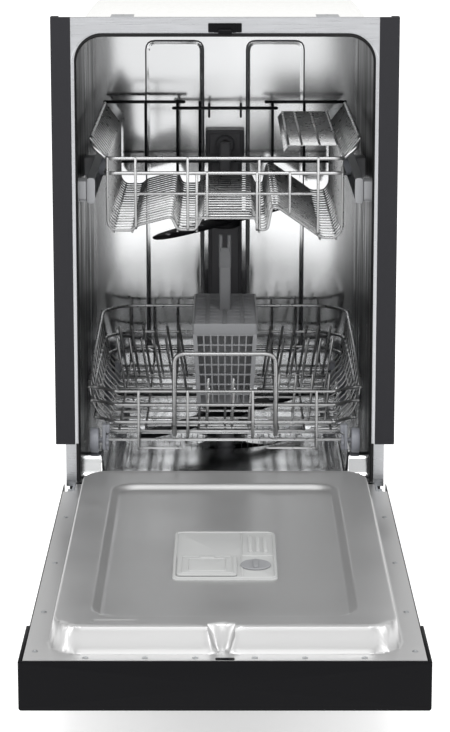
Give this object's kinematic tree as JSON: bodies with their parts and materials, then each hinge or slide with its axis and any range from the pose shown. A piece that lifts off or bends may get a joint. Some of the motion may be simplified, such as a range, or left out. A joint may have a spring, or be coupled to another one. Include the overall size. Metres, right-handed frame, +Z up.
{
  "type": "built-in dishwasher",
  "caption": "Narrow built-in dishwasher with a drop-down door, two pull-out wire racks, a cutlery basket and turning spray arms.",
  "frame": {"origin": "on the floor under the centre of the bounding box with the door open", "axes": "+X across the width, +Y from the open door into the tub, +Z up"},
  "size_m": [0.457, 1.195, 0.82],
  "materials": {
    "stainless": "bright stainless sheet and wire",
    "black_plastic": "satin black plastic",
    "dark_plastic": "dark grey polypropylene",
    "grey_plastic": "mid grey polypropylene",
    "zinc_steel": "zinc plated steel",
    "black_enamel": "black painted steel",
    "rubber": "black rubber",
    "bitumen_felt": "bitumen felt blanket",
    "fibre_pad": "fibre insulation pad"
  },
  "bodies": {
    "cabinet": {"tub_wrapper": "stainless", "tub_back": "stainless", "tub_floor": "stainless", "front_frame": "stainless", "door_gasket": "rubber", "side_trims": "black_plastic", "insulation_wrap": "bitumen_felt", "base_tray": "black_plastic", "toe_kick": "black_enamel", "access_panel": "black_enamel", "kick_screws": "zinc_steel", "leveling_feet": "grey_plastic", "hinge_brackets": "zinc_steel", "wash_duct": "dark_plastic", "duct_dock": "dark_plastic", "filter_plate": "stainless", "sump": "dark_plastic", "wash_pump": "dark_plastic", "drain_pump": "dark_plastic", "inlet_valve": "grey_plastic", "drain_outlet": "grey_plastic", "junction_box": "zinc_steel", "counter_brackets": "zinc_steel", "door_striker": "black_plastic", "rail_guides": "grey_plastic", "arm_stem": "dark_plastic"},
    "door": {"door_outer_panel": "black_enamel", "door_liner": "stainless", "door_insulation": "fibre_pad", "control_console": "black_plastic", "door_latch": "grey_plastic", "dispenser_body": "grey_plastic", "hinge_arms": "zinc_steel", "liner_screws": "zinc_steel"},
    "detergent_lid": {"detergent_lid": "grey_plastic"},
    "rinse_cap": {"rinse_cap": "grey_plastic"},
    "power_button": {"power_button": "dark_plastic"},
    "program_button": {"program_button": "dark_plastic"},
    "option_button": {"option_button": "dark_plastic"},
    "delay_button": {"delay_button": "dark_plastic"},
    "start_button": {"start_button": "dark_plastic"},
    "lower_rack": {"lower_rack_frame": "stainless", "lower_rack_tines": "stainless", "lower_rack_handle": "stainless", "wheel_brackets": "grey_plastic"},
    "folding_tines": {"folding_tines": "stainless"},
    "front_wheels": {"front_wheels": "grey_plastic"},
    "rear_wheels": {"rear_wheels": "grey_plastic"},
    "cutlery_basket": {"cutlery_basket": "grey_plastic", "basket_lid": "grey_plastic"},
    "upper_rack": {"upper_rack_frame": "stainless", "upper_rack_rear": "black_plastic", "feed_pipe": "dark_plastic"},
    "front_rollers": {"front_rollers": "grey_plastic"},
    "rear_rollers": {"rear_rollers": "grey_plastic"},
    "upper_rails": {"upper_rails": "zinc_steel"},
    "cup_shelf": {"cup_shelf": "stainless"},
    "upper_spray_arm": {"upper_spray_arm": "dark_plastic"},
    "lower_spray_arm": {"lower_spray_arm": "dark_plastic"},
    "filter_cup": {"filter_cup": "dark_plastic"}
  },
  "joints": [
    {"name": "door_hinge", "type": "hinge", "parent": "cabinet", "child": "door", "pos_m": [0, 0.038, 0.1745], "axis": [1, 0, 0], "range_deg": [-90, 0]},
    {"name": "lower_rack_slide", "type": "slide", "parent": "cabinet", "child": "lower_rack", "axis": [0, -1, 0], "range_m": [0, 0.45]},
    {"name": "upper_rack_slide", "type": "slide", "parent": "cabinet", "child": "upper_rack", "axis": [0, -1, 0], "range_m": [0, 0.36]},
    {"name": "upper_rail_slide", "type": "slide", "parent": "cabinet", "child": "upper_rails", "axis": [0, -1, 0], "range_m": [-0.001, 0.181]},
    {"name": "wheel_front_spin", "type": "hinge", "parent": "lower_rack", "child": "front_wheels", "pos_m": [0, 0.1045, 0.2345], "axis": [1, 0, 0], "range_deg": [-10, 1490]},
    {"name": "wheel_rear_spin", "type": "hinge", "parent": "lower_rack", "child": "rear_wheels", "pos_m": [0, 0.4595, 0.2345], "axis": [1, 0, 0], "range_deg": [-10, 1490]},
    {"name": "roller_front_spin", "type": "hinge", "parent": "upper_rack", "child": "front_rollers", "pos_m": [0, 0.2945, 0.585], "axis": [1, 0, 0], "range_deg": [-10, 840]},
    {"name": "roller_rear_spin", "type": "hinge", "parent": "upper_rack", "child": "rear_rollers", "pos_m": [0, 0.4545, 0.585], "axis": [1, 0, 0], "range_deg": [-10, 840]},
    {"name": "arm_lower_spin", "type": "hinge", "parent": "cabinet", "child": "lower_spray_arm", "pos_m": [0, 0.2795, 0.22], "axis": [0, 0, 1], "continuous": true},
    {"name": "arm_upper_spin", "type": "hinge", "parent": "upper_rack", "child": "upper_spray_arm", "pos_m": [0, 0.2795, 0.51], "axis": [0, 0, 1], "continuous": true},
    {"name": "basket_lift", "type": "slide", "parent": "lower_rack", "child": "cutlery_basket", "axis": [0, 0, 1], "range_m": [0, 0.02]},
    {"name": "fold_tines_hinge", "type": "hinge", "parent": "lower_rack", "child": "folding_tines", "pos_m": [0, 0.3395, 0.2495], "axis": [1, 0, 0], "range_deg": [0, 80]},
    {"name": "cup_shelf_hinge", "type": "hinge", "parent": "upper_rack", "child": "cup_shelf", "pos_m": [0.152, 0.2945, 0.6412], "axis": [0, 1, 0], "range_deg": [0, 85]},
    {"name": "detergent_lid_slide", "type": "slide", "parent": "door", "child": "detergent_lid", "axis": [0, 1, 0], "range_m": [0, 0.06]},
    {"name": "rinse_cap_turn", "type": "hinge", "parent": "door", "child": "rinse_cap", "pos_m": [0.036, -0.3555, 0.212], "axis": [0, 0, 1], "range_deg": [0, 90]},
    {"name": "sump_filter_turn", "type": "hinge", "parent": "cabinet", "child": "filter_cup", "pos_m": [0, 0.3995, 0.188], "axis": [0, 0, 1], "range_deg": [0, 90]},
    {"name": "press_power_button", "type": "slide", "parent": "door", "child": "power_button", "axis": [0, 0, 1], "range_m": [0, 0.0015], "stiffness_N_per_m": 300, "springref_m": -0.003},
    {"name": "press_program_button", "type": "slide", "parent": "door", "child": "program_button", "axis": [0, 0, 1], "range_m": [0, 0.0015], "stiffness_N_per_m": 300, "springref_m": -0.003},
    {"name": "press_option_button", "type": "slide", "parent": "door", "child": "option_button", "axis": [0, 0, 1], "range_m": [0, 0.0015], "stiffness_N_per_m": 300, "springref_m": -0.003},
    {"name": "press_delay_button", "type": "slide", "parent": "door", "child": "delay_button", "axis": [0, 0, 1], "range_m": [0, 0.0015], "stiffness_N_per_m": 300, "springref_m": -0.003},
    {"name": "press_start_button", "type": "slide", "parent": "door", "child": "start_button", "axis": [0, 0, 1], "range_m": [0, 0.0015], "stiffness_N_per_m": 300, "springref_m": -0.003}
  ],
  "couplings": [
    {"joint": "upper_rail_slide", "follows": "upper_rack_slide", "ratio": 0.5},
    {"joint": "wheel_front_spin", "follows": "lower_rack_slide", "rad_per_m": 57.143},
    {"joint": "wheel_rear_spin", "follows": "lower_rack_slide", "rad_per_m": 57.143},
    {"joint": "roller_front_spin", "follows": "upper_rack_slide", "rad_per_m": 40},
    {"joint": "roller_rear_spin", "follows": "upper_rack_slide", "rad_per_m": 40}
  ]
}
